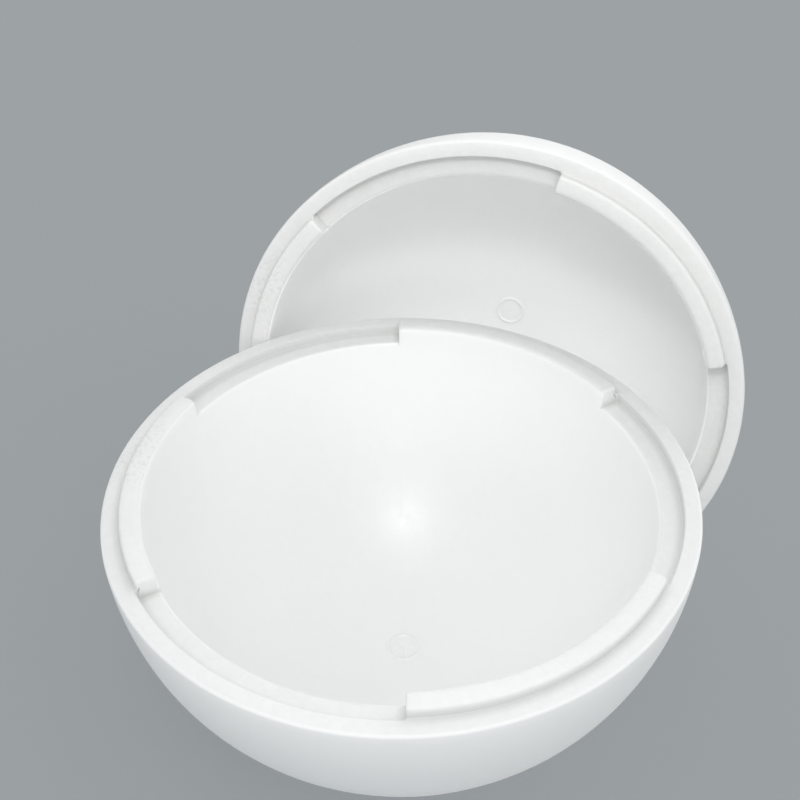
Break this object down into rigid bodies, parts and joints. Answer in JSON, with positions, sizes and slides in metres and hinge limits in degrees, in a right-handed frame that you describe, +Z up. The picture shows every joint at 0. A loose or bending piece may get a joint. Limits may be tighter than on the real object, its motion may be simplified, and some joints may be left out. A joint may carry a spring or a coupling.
{
  "type": "hollow craft ball",
  "caption": "Hollow separable craft ball of expanded polystyrene, laid open: one half shell lies as a bowl and its matching half leans behind it, both with keyed rims.",
  "frame": {"origin": "centre of the footprint of the two halves as they lie, on the surface they rest on", "axes": "+Z up; +Y level, from the centre of the half that lies as a bowl towards the centre of the half that leans behind it; +X to the right"},
  "size_m": [0.2996, 0.4078, 0.2997],
  "materials": {
    "front_half_foam": "white expanded polystyrene foam, moulded skin, matte with a faint bead pattern",
    "rear_half_foam": "white expanded polystyrene foam, moulded skin, matte with a faint bead pattern"
  },
  "bodies": {
    "root": {"front_half": "front_half_foam", "rear_half": "rear_half_foam"}
  },
  "joints": []
}
